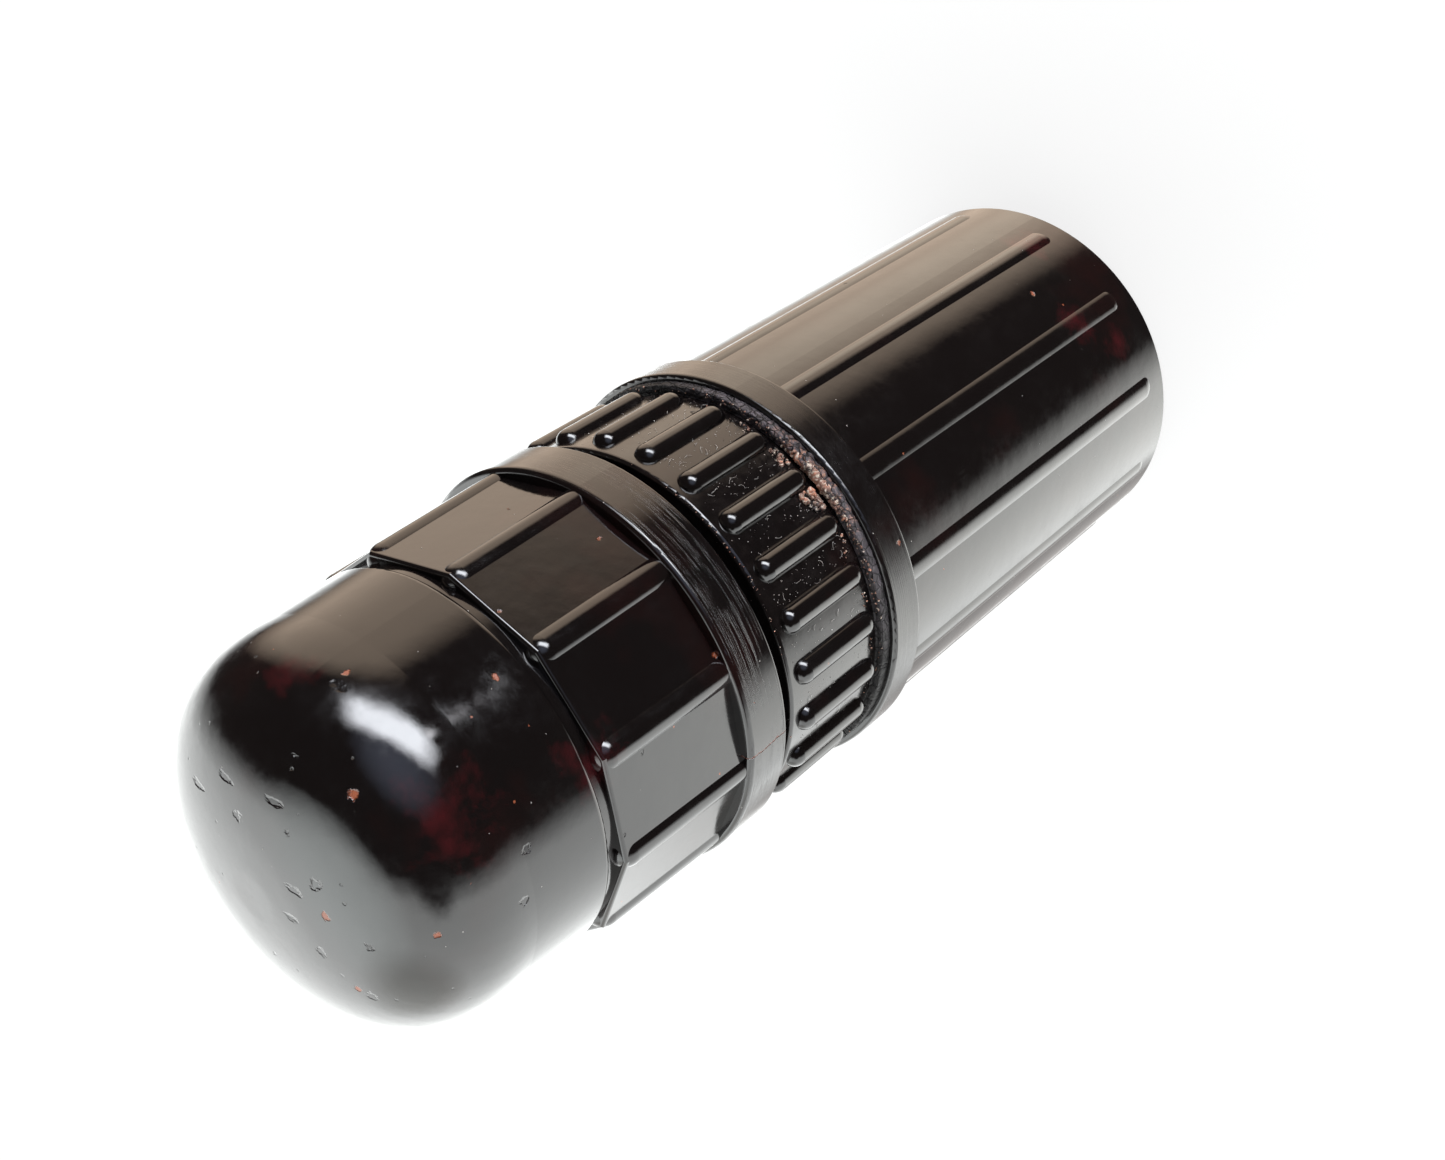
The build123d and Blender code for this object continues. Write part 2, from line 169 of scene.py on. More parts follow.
def mix_colour(tree, factor, first, second):
    """Mixes two colours; each is a colour or an output."""
    node = tree.nodes.new("ShaderNodeMix")
    node.data_type = "RGBA"
    tree.links.new(factor, node.inputs["Factor"])
    feed(tree, first, node.inputs[6])
    feed(tree, second, node.inputs[7])
    return node.outputs[2]


def bump(tree, height, distance, normal=None):
    """Bump from a height value; distance in millimetres, negative for hollows."""
    node = tree.nodes.new("ShaderNodeBump")
    node.invert = distance < 0
    set_inputs(node, Strength=1.0, Distance=abs(distance) * MM)
    tree.links.new(height, node.inputs["Height"])
    if normal is not None:
        tree.links.new(normal, node.inputs["Normal"])
    return node.outputs["Normal"]


def marks(tree, vector, spacing, radius, share, wobble=0.0):
    """Scattered small marks: one place per cell, kept in a share of the cells; sizes in mm."""
    if wobble > 0.0:
        shift = tree.nodes.new("ShaderNodeTexNoise")
        set_inputs(shift, Scale=1.1 / radius, Detail=2.0)
        tree.links.new(vector, shift.inputs["Vector"])
        moved = vector_node(tree, "MULTIPLY", shift.outputs["Color"], Vector((1, 1, 1)) * wobble)
        vector = vector_node(tree, "ADD", vector, moved)
    cells = tree.nodes.new("ShaderNodeTexVoronoi")
    set_inputs(cells, Scale=1.0 / spacing)
    tree.links.new(vector, cells.inputs["Vector"])
    chance = tree.nodes.new("ShaderNodeSeparateColor")
    tree.links.new(cells.outputs["Color"], chance.inputs["Color"])
    reach = radius / spacing
    spot = ramp(tree, cells.outputs["Distance"], reach * 0.55, reach, 1.0, 0.0)
    kept = ramp(tree, chance.outputs["Red"], 1.0 - share, 1.0 - share + 0.02)
    return product(tree, spot, kept)


def spots(tree, vector, places, wobble):
    """Ragged marks at stated places, each a centre and a size in millimetres."""
    shift = tree.nodes.new("ShaderNodeTexNoise")
    set_inputs(shift, Scale=1.6, Detail=3.0)
    tree.links.new(vector, shift.inputs["Vector"])
    moved = vector_node(tree, "MULTIPLY", shift.outputs["Color"], Vector((1, 1, 1)) * wobble)
    moved = vector_node(tree, "ADD", vector, moved)
    half = Vector((1, 1, 1)) * wobble / 2
    found = 0.0
    for centre, size in places:
        gap = vector_node(tree, "DISTANCE", moved, Vector(centre) + half)
        found = math_node(tree, "MAXIMUM", ramp(tree, gap, 0.6 * size, size, 1.0, 0.0), found)
    return found


def hairlines(tree, scale, spin, width, cover):
    """Long fine scratches in one direction, broken into stretches; cover is 0 to 1."""
    streaks = noise_value(tree, coordinates(tree, scale, spin), 1.0, 1.0)
    line = ramp(tree, math_node(tree, "ABSOLUTE", math_node(tree, "SUBTRACT", streaks, 0.5)),
                0.0, width, 1.0, 0.0)
    places = noise_value(tree, coordinates(tree, (1, 1, 1), spin), 0.13, 2.0)
    edge = 0.72 - 0.36 * cover
    return product(tree, line, ramp(tree, places, edge, edge + 0.08))


def height_of(tree, vector):
    """Height along the tank's axis in millimetres."""
    return vector_node(tree, "DOT_PRODUCT", vector, Vector((0, 0, 1)))


def between(tree, value, low, high, soft):
    """One inside a range and zero outside, with soft ends."""
    return product(tree, ramp(tree, value, low - soft, low + soft),
                   ramp(tree, value, high - soft, high + soft, 1.0, 0.0))


# ---------------------------------------------------------------- phenolic
NEAR_BLACK = (0.0036, 0.0028, 0.0028)
DEEP_RED = (0.012, 0.0034, 0.0031)
THIN_RED = (0.042, 0.0055, 0.0068)
FILLER_ORANGE = (0.26, 0.065, 0.024)
PALE_DUST = (0.42, 0.39, 0.36)


def polished_phenolic(name, red_places=(), fleck_places=(), fleck_share=0.12, pit_share=0.05, extra=None):
    """Polished compression-moulded phenolic: near black, dull red where thin, flecked and rubbed."""
    material, tree, shader = new_material(name)
    plain = coordinates(tree)

    clouds = noise_value(tree, plain, 0.06, 4.0, 0.6)
    colour = mix_colour(tree, ramp(tree, clouds, 0.54, 0.78), NEAR_BLACK, DEEP_RED)
    ragged = noise_value(tree, plain, 0.3, 5.0, 0.65)
    for centre, reach in red_places:
        gap = vector_node(tree, "DISTANCE", plain, Vector(centre))
        gap = math_node(tree, "ADD", gap, ramp(tree, ragged, 0.3, 0.7, 0.0, 1.1 * reach))
        colour = mix_colour(tree, ramp(tree, gap, 0.45 * reach, 1.25 * reach, 0.8, 0.0), colour, THIN_RED)
    strewn_flecks = marks(tree, plain, 4.6, 0.45, fleck_share, 0.6)
    flecks = highest(tree, strewn_flecks, spots(tree, plain, fleck_places, 1.0))
    fine_flecks = marks(tree, plain, 2.1, 0.17, 0.6 * fleck_share, 0.2)
    colour = mix_colour(tree, highest(tree, flecks, fine_flecks), colour, FILLER_ORANGE)
    dust = marks(tree, plain, 1.3, 0.085, 0.10, 0.06)
    colour = mix_colour(tree, dust, colour, PALE_DUST)

    haze = ramp(tree, noise_value(tree, plain, 0.17, 5.0, 0.65), 0.36, 0.68, 0.06, 0.19)
    grain = noise_value(tree, plain, 1.1, 5.0, 0.7)
    haze = math_node(tree, "ADD", haze, ramp(tree, grain, 0.35, 0.65, -0.03, 0.03))
    rubs = highest(tree, hairlines(tree, (0.09, 3.1, 0.09), (20, 35, 10), 0.012, 0.25),
                   hairlines(tree, (2.6, 0.1, 0.1), (0, 15, 40), 0.012, 0.2),
                   hairlines(tree, (0.12, 0.12, 2.4), (62, 0, 25), 0.012, 0.15))
    pits = marks(tree, plain, 3.4, 0.34, pit_share, 0.5)
    normal = bump(tree, noise_value(tree, plain, 0.21, 2.0), 0.028)
    normal = bump(tree, grain, 0.006, normal)
    normal = bump(tree, rubs, -0.0015, normal)
    normal = bump(tree, highest(tree, pits, flecks), -0.10, normal)
    normal = bump(tree, dust, 0.05, normal)
    rough = highest(tree, haze, product(tree, rubs, 0.2), product(tree, dust, 0.7),
                    product(tree, flecks, 0.45), product(tree, fine_flecks, 0.4))
    if extra is not None:
        colour, rough, normal = extra(tree, plain, colour, rough, normal)
    tree.links.new(colour, shader.inputs["Base Color"])
    tree.links.new(rough, shader.inputs["Roughness"])
    tree.links.new(normal, shader.inputs["Normal"])
    set_inputs(shader, IOR=1.6)
    return material


CRACK_TURN = math.radians(-84.5)
BAND_HEIGHT = 6.2
RUBBED_TURN = math.radians(-67.0)


# Nicks in the polish of the cap's crown: centre and size in millimetres.
CAP_NICKS = [((7.1, -8.8, 136.2), 0.8), ((-5.7, -13.6, 135.0), 0.7), ((8.3, -20.8, 121.1), 0.6),
             ((3.7, -22.1, 122.7), 0.6), ((9.4, 1.5, 136.6), 0.7), ((2.0, -14.5, 135.4), 0.6),
             ((11.0, -5.0, 135.6), 0.5), ((-1.5, -9.0, 136.8), 0.7)]


def cap_wear(tree, plain, colour, rough, normal):
    """Turning rubs round the cap's band, a hairline crack in it, and knocks on the crown."""
    height = height_of(tree, plain)
    band = between(tree, height, CAP_BOTTOM + 0.3, CAP_BOTTOM + BAND_HEIGHT, 0.2)
    lines = noise_value(tree, coordinates(tree, (0.05, 0.05, 7.0)), 1.0, 3.0, 0.7)
    rubbed_side = Vector((math.cos(RUBBED_TURN), math.sin(RUBBED_TURN), 0.0))
    patches = ramp(tree, vector_node(tree, "DOT_PRODUCT", plain, rubbed_side), 20.5, 23.5, 0.25, 1.0)
    patches = product(tree, patches, ramp(tree, noise_value(tree, plain, 0.12, 2.0), 0.36, 0.55))
    rubbed = product(tree, band, patches, ramp(tree, lines, 0.55, 0.60))
    normal = bump(tree, rubbed, -0.02, normal)
    rough = math_node(tree, "ADD", rough, product(tree, rubbed, 0.08))

    across = Vector((-math.sin(CRACK_TURN), math.cos(CRACK_TURN), 0.04))
    outward = Vector((math.cos(CRACK_TURN), math.sin(CRACK_TURN), 0.0))
    side = vector_node(tree, "DOT_PRODUCT", plain, across)
    side = math_node(tree, "SUBTRACT", side, 0.04 * (CAP_BOTTOM + BAND_HEIGHT / 2))
    wander = math_node(tree, "SUBTRACT", noise_value(tree, plain, 0.5, 4.0), 0.5)
    side = math_node(tree, "ADD", side, product(tree, wander, 1.6))
    near = ramp(tree, math_node(tree, "ABSOLUTE", side), 0.03, 0.12, 1.0, 0.0)
    facing = ramp(tree, vector_node(tree, "DOT_PRODUCT", plain, outward), 10.0, 12.0)
    crack = product(tree, near, facing, band)
    colour = mix_colour(tree, crack, colour, (0.16, 0.05, 0.032))
    normal = bump(tree, crack, -0.12, normal)
    rough = highest(tree, rough, product(tree, crack, 0.5))

    crown = ramp(tree, height, CAP_CROWN - 12.0, CAP_CROWN - 5.0)
    long_knocks = marks(tree, coordinates(tree, (1.0, 0.42, 0.8), (0, 0, 35)), 3.2, 0.5, 0.34, 0.6)
    small_knocks = marks(tree, plain, 1.7, 0.2, 0.25, 0.25)
    deep_knocks = spots(tree, plain, CAP_NICKS, 1.3)
    knocks = highest(tree, product(tree, crown, highest(tree, long_knocks, small_knocks)), deep_knocks)
    normal = bump(tree, knocks, -0.16, normal)
    colour = mix_colour(tree, product(tree, knocks, 0.6), colour, (0.012, 0.011, 0.011))
    dull = product(tree, crown, ramp(tree, noise_value(tree, plain, 0.3, 3.0), 0.4, 0.7))
    rough = math_node(tree, "ADD", rough, product(tree, dull, 0.08))
    return colour, rough, normal


def collar_wear(tree, plain, colour, rough, normal):
    """Dust caught in the grooves between the collar's ribs and by their lower ends."""
    flat = vector_node(tree, "MULTIPLY", plain, Vector((1, 1, 0)))
    length = tree.nodes.new("ShaderNodeVectorMath")
    length.operation = "LENGTH"
    tree.links.new(flat, length.inputs[0])
    groove = ramp(tree, length.outputs["Value"], COLLAR_R + 0.1, COLLAR_R + 0.4, 1.0, 0.0)
    low = ramp(tree, height_of(tree, plain), GASKET_TOP + 1.0, GASKET_TOP + 5.0, 1.0, 0.25)
    coarse_grains = marks(tree, plain, 0.9, 0.1, 0.2, 0.1)
    fine_grains = marks(tree, plain, 0.6, 0.05, 0.25, 0.05)
    grains = highest(tree, coarse_grains, fine_grains)
    dirt = product(tree, groove, low, grains)
    colour = mix_colour(tree, dirt, colour, (0.38, 0.31, 0.27))
    film = product(tree, groove, ramp(tree, noise_value(tree, plain, 0.9, 5.0), 0.45, 0.7), low)
    colour = mix_colour(tree, product(tree, film, 0.25), colour, (0.05, 0.038, 0.034))
    rough = math_node(tree, "ADD", rough, product(tree, highest(tree, film, dirt), 0.25))
    return colour, rough, bump(tree, dirt, 0.07, normal)


def tank_wear(tree, plain, colour, rough, normal):
    """Satin, finely scratched flange round the tank's mouth."""
    height = height_of(tree, plain)
    flange = ramp(tree, height, GASKET_BOTTOM - 5.3, GASKET_BOTTOM - 4.9)
    lines = noise_value(tree, coordinates(tree, (0.06, 0.06, 6.0)), 1.0, 3.0, 0.7)
    normal = bump(tree, product(tree, flange, lines), 0.02, normal)
    rough = math_node(tree, "ADD", rough, product(tree, flange, ramp(tree, lines, 0.3, 0.7, 0.03, 0.12)))
    return colour, rough, normal


def satin_phenolic(name):
    """Phenolic as it comes from the mould, with flow marks and a fine grain."""
    material, tree, shader = new_material(name)
    plain = coordinates(tree)
    flow = noise_value(tree, coordinates(tree, (1, 1, 0.35)), 0.18, 4.0, 0.6, 0.8)
    colour = mix_colour(tree, ramp(tree, flow, 0.4, 0.7), (0.012, 0.0095, 0.009), (0.028, 0.014, 0.012))
    flecks = marks(tree, plain, 2.4, 0.16, 0.15, 0.15)
    tree.links.new(mix_colour(tree, flecks, colour, (0.20, 0.08, 0.04)), shader.inputs["Base Color"])
    tree.links.new(ramp(tree, flow, 0.3, 0.7, 0.26, 0.44), shader.inputs["Roughness"])
    normal = bump(tree, noise_value(tree, plain, 3.0, 3.0), 0.012)
    tree.links.new(bump(tree, flow, 0.06, normal), shader.inputs["Normal"])
    set_inputs(shader, IOR=1.6)
    return material


# ---------------------------------------------------------------- other materials
def perished_rubber(name):
    """Hardened sealing rubber: grey-mauve skin, dark cracks, rusty and tan crumbling faces."""
    material, tree, shader = new_material(name)
    plain = coordinates(tree)
    worst_side = Vector((math.cos(WORST_TURN), math.sin(WORST_TURN), 0.0))
    facing = vector_node(tree, "DOT_PRODUCT", plain, worst_side)
    worn = ramp(tree, facing, 0.55 * GASKET_R, 0.93 * GASKET_R)
    broken = ramp(tree, facing, 0.93 * GASKET_R, 0.99 * GASKET_R)
    skin = mix_colour(tree, ramp(tree, noise_value(tree, plain, 0.8, 4.0), 0.3, 0.65),
                      (0.022, 0.019, 0.020), (0.13, 0.11, 0.12))
    skin = mix_colour(tree, worn, (0.006, 0.005, 0.005), skin)
    lumps = noise_value(tree, plain, 1.6, 4.0, 0.7)
    skin = mix_colour(tree, product(tree, broken, ramp(tree, lumps, 0.5, 0.6)), skin, (0.36, 0.19, 0.13))
    cracks = tree.nodes.new("ShaderNodeTexVoronoi")
    cracks.feature = "DISTANCE_TO_EDGE"
    set_inputs(cracks, Scale=0.9)
    tree.links.new(plain, cracks.inputs["Vector"])
    crack = ramp(tree, cracks.outputs["Distance"], 0.0, 0.09, 1.0, 0.0)
    tree.links.new(mix_colour(tree, crack, skin, (0.008, 0.006, 0.006)), shader.inputs["Base Color"])
    tree.links.new(ramp(tree, lumps, 0.3, 0.7, 0.42, 0.85), shader.inputs["Roughness"])
    normal = bump(tree, lumps, 0.28)
    tree.links.new(bump(tree, crack, -0.2, normal), shader.inputs["Normal"])
    return material


def crumb_rubber(name):
    """Freshly broken rubber crumbs: tan, salmon and orange with pale grains."""
    material, tree, shader = new_material(name)
    plain = coordinates(tree)
    hue = noise_value(tree, plain, 0.55, 2.0)
    colour = mix_colour(tree, ramp(tree, hue, 0.40, 0.48), (0.045, 0.034, 0.032), (0.30, 0.16, 0.115))
    colour = mix_colour(tree, ramp(tree, hue, 0.55, 0.63), colour, (0.62, 0.27, 0.17))
    grains = ramp(tree, noise_value(tree, plain, 3.0, 3.0), 0.53, 0.6)
    tree.links.new(mix_colour(tree, grains, colour, (0.66, 0.56, 0.46)), shader.inputs["Base Color"])
    tree.links.new(ramp(tree, hue, 0.3, 0.7, 0.6, 0.9), shader.inputs["Roughness"])
    tree.links.new(bump(tree, noise_value(tree, plain, 6.0, 3.0), 0.1), shader.inputs["Normal"])
    return material


def lint_fibre(name):
    """Pale lint and dust with faint darker stretches."""
    material, tree, shader = new_material(name)
    plain = coordinates(tree)
    tone = noise_value(tree, plain, 1.4, 2.0)
    colour = mix_colour(tree, ramp(tree, tone, 0.35, 0.65), (0.30, 0.26, 0.23), (0.62, 0.60, 0.57))
    tree.links.new(colour, shader.inputs["Base Color"])
    tree.links.new(ramp(tree, tone, 0.3, 0.7, 0.5, 0.8), shader.inputs["Roughness"])
    tree.links.new(bump(tree, noise_value(tree, plain, 12.0), 0.01), shader.inputs["Normal"])
    return material


def soft_rubber(name):
    """Matt black sealing rubber with a fine skin and bloom."""
    material, tree, shader = new_material(name)
    plain = coordinates(tree)
    bloom = noise_value(tree, plain, 0.4, 5.0, 0.65)
    colour = mix_colour(tree, ramp(tree, bloom, 0.4, 0.7), (0.014, 0.013, 0.013), (0.045, 0.042, 0.04))
    tree.links.new(colour, shader.inputs["Base Color"])
    tree.links.new(ramp(tree, bloom, 0.3, 0.7, 0.6, 0.85), shader.inputs["Roughness"])
    tree.links.new(bump(tree, noise_value(tree, plain, 5.0, 3.0), 0.02), shader.inputs["Normal"])
    return material


def worked_metal(name, bright, dull, grain, tarnish_low):
    """Turned or rolled metal: grain follows the given stretch, tarnish lies in patches."""
    material, tree, shader = new_material(name)
    plain = coordinates(tree)
    tarnish = ramp(tree, noise_value(tree, plain, 0.5, 5.0, 0.65), tarnish_low, tarnish_low + 0.25)
    tree.links.new(mix_colour(tree, tarnish, bright, dull), shader.inputs["Base Color"])
    lines = noise_value(tree, coordinates(tree, grain), 1.0, 3.0, 0.7)
    rough = math_node(tree, "ADD", ramp(tree, lines, 0.3, 0.7, 0.2, 0.36), product(tree, tarnish, 0.15))
    tree.links.new(rough, shader.inputs["Roughness"])
    tree.links.new(bump(tree, lines, 0.01), shader.inputs["Normal"])
    set_inputs(shader, Metallic=1.0)
    return material


def clear_glass(name):
    """Thermometer glass with faint handling marks."""
    material, tree, shader = new_material(name)
    smears = noise_value(tree, coordinates(tree, (1, 1, 0.3)), 0.7, 4.0)
    tree.links.new(ramp(tree, smears, 0.45, 0.75, 0.0, 0.12), shader.inputs["Roughness"])
    tint = mix_colour(tree, ramp(tree, smears, 0.4, 0.7), (0.93, 0.97, 0.96), (0.86, 0.92, 0.90))
    tree.links.new(tint, shader.inputs["Base Color"])
    set_inputs(shader, IOR=1.5, Transmission_Weight=1.0)
    return material


def red_liquid(name):
    """Dyed thermometer liquid, a little deeper in places."""
    material, tree, shader = new_material(name)
    depth = noise_value(tree, coordinates(tree), 0.3, 2.0)
    colour = mix_colour(tree, ramp(tree, depth, 0.35, 0.65), (0.42, 0.018, 0.014), (0.22, 0.008, 0.008))
    tree.links.new(colour, shader.inputs["Base Color"])
    tree.links.new(ramp(tree, depth, 0.3, 0.7, 0.08, 0.18), shader.inputs["Roughness"])
    return material


def marked_card(name):
    """Off-white scale strip with plain division lines, the tenth ones longer."""
    material, tree, shader = new_material(name)
    plain = coordinates(tree)
    age = noise_value(tree, plain, 0.15, 4.0)
    card = mix_colour(tree, ramp(tree, age, 0.4, 0.7), (0.46, 0.45, 0.41), (0.36, 0.33, 0.26))
    height = height_of(tree, plain)
    side = math_node(tree, "ABSOLUTE", vector_node(tree, "DOT_PRODUCT", plain, Vector((1, 0, 0))))

    def lines(step, thick, inner):
        place = math_node(tree, "MODULO", height, step)
        return product(tree, ramp(tree, place, thick, thick + 0.04, 1.0, 0.0),
                       ramp(tree, side, inner, inner + 0.03))

    ink = highest(tree, lines(1.0, 0.14, 1.15), lines(5.0, 0.2, 0.9), lines(10.0, 0.26, 0.6))
    tree.links.new(mix_colour(tree, ink, card, (0.02, 0.02, 0.022)), shader.inputs["Base Color"])
    tree.links.new(ramp(tree, age, 0.3, 0.7, 0.5, 0.7), shader.inputs["Roughness"])
    tree.links.new(bump(tree, noise_value(tree, plain, 3.0), 0.01), shader.inputs["Normal"])
    return material


# ---------------------------------------------------------------- crumbled seal and dust
def point_at(turn, radius, height):
    """Point in metres from an angle about the axis and millimetres."""
    return Vector((radius * math.cos(turn), radius * math.sin(turn), height)) * MM


def damage(turn):
    """How badly the seal has crumbled at an angle, 0 to 1: worst on one side, patchy elsewhere."""
    away = math.remainder(turn - WORST_TURN, math.tau)
    worst = math.exp(-(away / WORST_SPREAD) ** 2)
    wide = 0.45 * math.exp(-(away / (3.2 * WORST_SPREAD)) ** 2)
    patchy = 0.08 + 0.3 * noise.noise(Vector((math.cos(turn), math.sin(turn), 0.3)) * 2.6)
    return max(worst, wide, patchy, 0.03)


def new_piece(name, mesh_maker, material, body):
    """Builds a mesh object from a bmesh, gives it its finish and lets it ride on a body."""
    mesh = bpy.data.meshes.new(name)
    shape = bmesh.new()
    mesh_maker(shape)
    bmesh.ops.recalc_face_normals(shape, faces=shape.faces)
    for face in shape.faces:
        face.smooth = True
    shape.to_mesh(mesh)
    shape.free()
    piece = bpy.data.objects.new(name, mesh)
    bpy.context.scene.collection.objects.link(piece)
    mesh.materials.append(material)
    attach(piece, body)
    return piece


GASKET_SEAT_R = 20.9
SOUND_SHRINK = 0.55
LIP_RISE = 0.5


def gasket_ring(shape):
    """Flat ring whose outer lip has swollen, cracked away from the collar and chipped."""
    steps = 1080
    lip_r = COLLAR_R + 0.05
    lip_points = 12
    under_collar = GASKET_TOP - 0.01
    section = [(GASKET_SEAT_R, GASKET_BOTTOM, 0.0), (GASKET_SEAT_R, under_collar, 0.0),
               (lip_r, under_collar, 0.0)]
    for index in range(1, lip_points + 1):
        share = index / lip_points
        section.append((lip_r + (GASKET_R - lip_r) * share, GASKET_TOP, share))
    section.append((GASKET_R + 0.05, (GASKET_BOTTOM + GASKET_TOP) / 2, 1.0))
    section.append((GASKET_R - 0.1, GASKET_BOTTOM + 0.02, 0.6))
    rings = []
    for step in range(steps):
        turn = math.tau * step / steps
        worn = damage(turn)
        loop = []
        for radius, height, loose in section:
            place = Vector((radius * math.cos(turn), radius * math.sin(turn), height))
            rough = noise.fractal(place * 1.3, 0.8, 2.1, 4)
            grain = noise.noise(place * 4.0)
            chip = max(0.0, noise.noise(place * 0.7 + Vector((5, 2, 9))) - 0.12)
            crack = math.exp(-((loose - 0.16) / 0.12) ** 2)
            ridge = math.exp(-((loose - 0.62) / 0.25) ** 2)
            lift = worn * (0.42 * ridge * (0.6 + 1.5 * rough) - 0.65 * crack) + 0.06 * grain * loose
            lift = min(lift, LIP_RISE) * min(1.0, loose * 6)
            shrink = SOUND_SHRINK * (1.0 - min(1.0, 1.6 * worn)) * loose
            push = loose * worn * (0.4 * rough - 1.1 * chip) + 0.03 * grain * loose - shrink
            if height < GASKET_TOP - 0.5:
                lift = 0.0
            loop.append(shape.verts.new(point_at(turn, min(radius + push, FLANGE_R - 0.12), height + lift)))
        rings.append(loop)
    count = len(section)
    for step in range(steps):
        here, there = rings[step], rings[(step + 1) % steps]
        for index in range(count):
            after = (index + 1) % count
            shape.faces.new((here[index], there[index], there[after], here[after]))


def add_crumb(shape, centre, size, detail=1):
    """One irregular crumb; centre in metres, size in millimetres."""
    made = bmesh.ops.create_icosphere(shape, subdivisions=detail, radius=size * MM)
    stretch = Vector([random.uniform(0.45, 1.35) for _ in range(3)])
    offset = Vector([random.uniform(-50, 50) for _ in range(3)])
    for vert in made["verts"]:
        swell = 1.0 + 0.8 * noise.noise(vert.co / (size * MM) * 1.9 + offset)
        vert.co = Vector([vert.co[axis] * stretch[axis] * swell for axis in range(3)]) + centre


def between_ribs(turn):
    """Moves an angle to the nearest groove between two collar ribs, give or take."""
    pitch = math.tau / RIB_COUNT
    middle = (math.floor(turn / pitch) + 0.5) * pitch
    return middle + random.uniform(-0.22, 0.22) * pitch


def gathered_turn(spread, share):
    """An angle near the worst damage for a share of the draws, and anywhere for the rest."""
    if random.random() < share:
        return random.gauss(WORST_TURN, spread)
    return random.uniform(-math.pi, math.pi)


def seal_crumbs(shape):
    """Crumbs lying on the seal's lip, thickest where it has broken up."""
    random.seed(11)
    placed = 0
    while placed < 520:
        turn = random.uniform(-math.pi, math.pi)
        worn = damage(turn)
        if random.random() > worn ** 2.2:
            continue
        placed += 1
        size = random.uniform(0.05, 0.10) + 0.45 * worn ** 2 * random.random() ** 1.5
        radius = random.uniform(COLLAR_R + 0.25 + size, max(GASKET_R - 0.25, COLLAR_R + 0.3 + size))
        height = GASKET_TOP + random.uniform(-0.05, 0.22) * worn + 0.3 * size
        add_crumb(shape, point_at(turn, radius, min(height, GASKET_TOP + 0.55 - size)), size, 2)


def collar_crumbs(shape):
    """Crumbs stuck in the grooves at the lower ends of the collar's ribs and on its top edge."""
    random.seed(23)
    placed = 0
    while placed < 190:
        turn = between_ribs(random.uniform(-math.pi, math.pi))
        worn = damage(turn)
        if random.random() > worn ** 1.8:
            continue
        placed += 1
        size = random.uniform(0.04, 0.09) + 0.42 * worn ** 2 * random.random() ** 1.7
        rise = 1.9 * size + LIP_RISE + random.random() ** 2 * (0.5 + 1.5 * worn)
        add_crumb(shape, point_at(turn, COLLAR_R + 0.35 * size, GASKET_TOP + rise), size, 2)
    for _ in range(90):
        turn = random.uniform(-math.pi, math.pi)
        if random.random() < 0.6:
            turn = WORST_TURN + random.gauss(-0.1, 0.3)
        size = random.uniform(0.04, 0.1)
        drop = random.uniform(0.05, 0.5)
        add_crumb(shape, point_at(turn, COLLAR_R - 0.12 + 0.1 * drop, COLLAR_TOP - drop), size)


def collar_dust(shape):
    """Fine pale grains sprinkled over the collar's grooves."""
    random.seed(37)
    for _ in range(520):
        turn = between_ribs(gathered_turn(0.55, 0.55)) + random.uniform(-0.02, 0.02)
        height = GASKET_TOP + 0.6 + random.random() ** 1.3 * 13.5
        add_crumb(shape, point_at(turn, COLLAR_R + 0.01, height), random.uniform(0.025, 0.065))


def add_fibre(shape, points, radius):
    """A thin round fibre along a list of points in metres."""
    sides = 6
    rings = []
    for index, point in enumerate(points):
        ahead = points[min(index + 1, len(points) - 1)] - points[max(index - 1, 0)]
        across = ahead.cross(Vector((0.3, 0.2, 1.0))).normalized()
        up = ahead.cross(across).normalized()
        taper = 0.35 if index in (0, len(points) - 1) else 1.0
        loop = []
        for side in range(sides):
            angle = math.tau * side / sides
            offset = (across * math.cos(angle) + up * math.sin(angle)) * radius * taper * MM
            loop.append(shape.verts.new(point + offset))
        rings.append(loop)
    for here, there in zip(rings, rings[1:]):
        for side in range(sides):
            after = (side + 1) % sides
            shape.faces.new((here[side], here[after], there[after], there[side]))
    shape.faces.new(rings[0][::-1])
    shape.faces.new(rings[-1])


def collar_lint(shape):
    """Curled fibres caught between the ribs; each lies on the collar's wall."""
    random.seed(53)
    steps = 14
    for _ in range(64):
        turn = between_ribs(gathered_turn(0.5, 0.7))
        height = GASKET_TOP + 0.9 + random.random() ** 1.2 * 12.5
        length = random.uniform(0.4, 1.3)
        heading = random.uniform(0, math.tau)
        curl = random.uniform(-2.6, 2.6) / length
        along, rise = 0.0, 0.0
        points = []
        for step in range(steps):
            lift = 0.05 + 0.10 * math.sin(math.pi * step / (steps - 1))
            limit = 0.35 * math.tau / RIB_COUNT * COLLAR_R
            reach = max(-limit, min(limit, along))
            points.append(point_at(turn + reach / COLLAR_R, COLLAR_R + lift, height + rise))
            heading += curl * length / steps + random.uniform(-0.12, 0.12)
            along += math.cos(heading) * length / steps
            rise += math.sin(heading) * length / steps
        add_fibre(shape, points, random.uniform(0.011, 0.02))


# ---------------------------------------------------------------- stage and light
CAMERA_AZIMUTH = 51.07
CAMERA_ELEVATION = 39.41
CAMERA_ROLL = 124.95
CAMERA_DISTANCE = 211.8 * MM
CAMERA_AIM = Vector((-0.51, -0.67, 67.1)) * MM
CAMERA_LENS = 43.5
SENSOR_WIDTH = 36.0

# The light comes as if the tank lay on a white table, so TABLE_UP points across the tank's axis.
TABLE_UP = Vector((0.998, 0.058, 0.0))
TABLE_ACROSS = TABLE_UP.cross(Vector((0, 0, 1)))


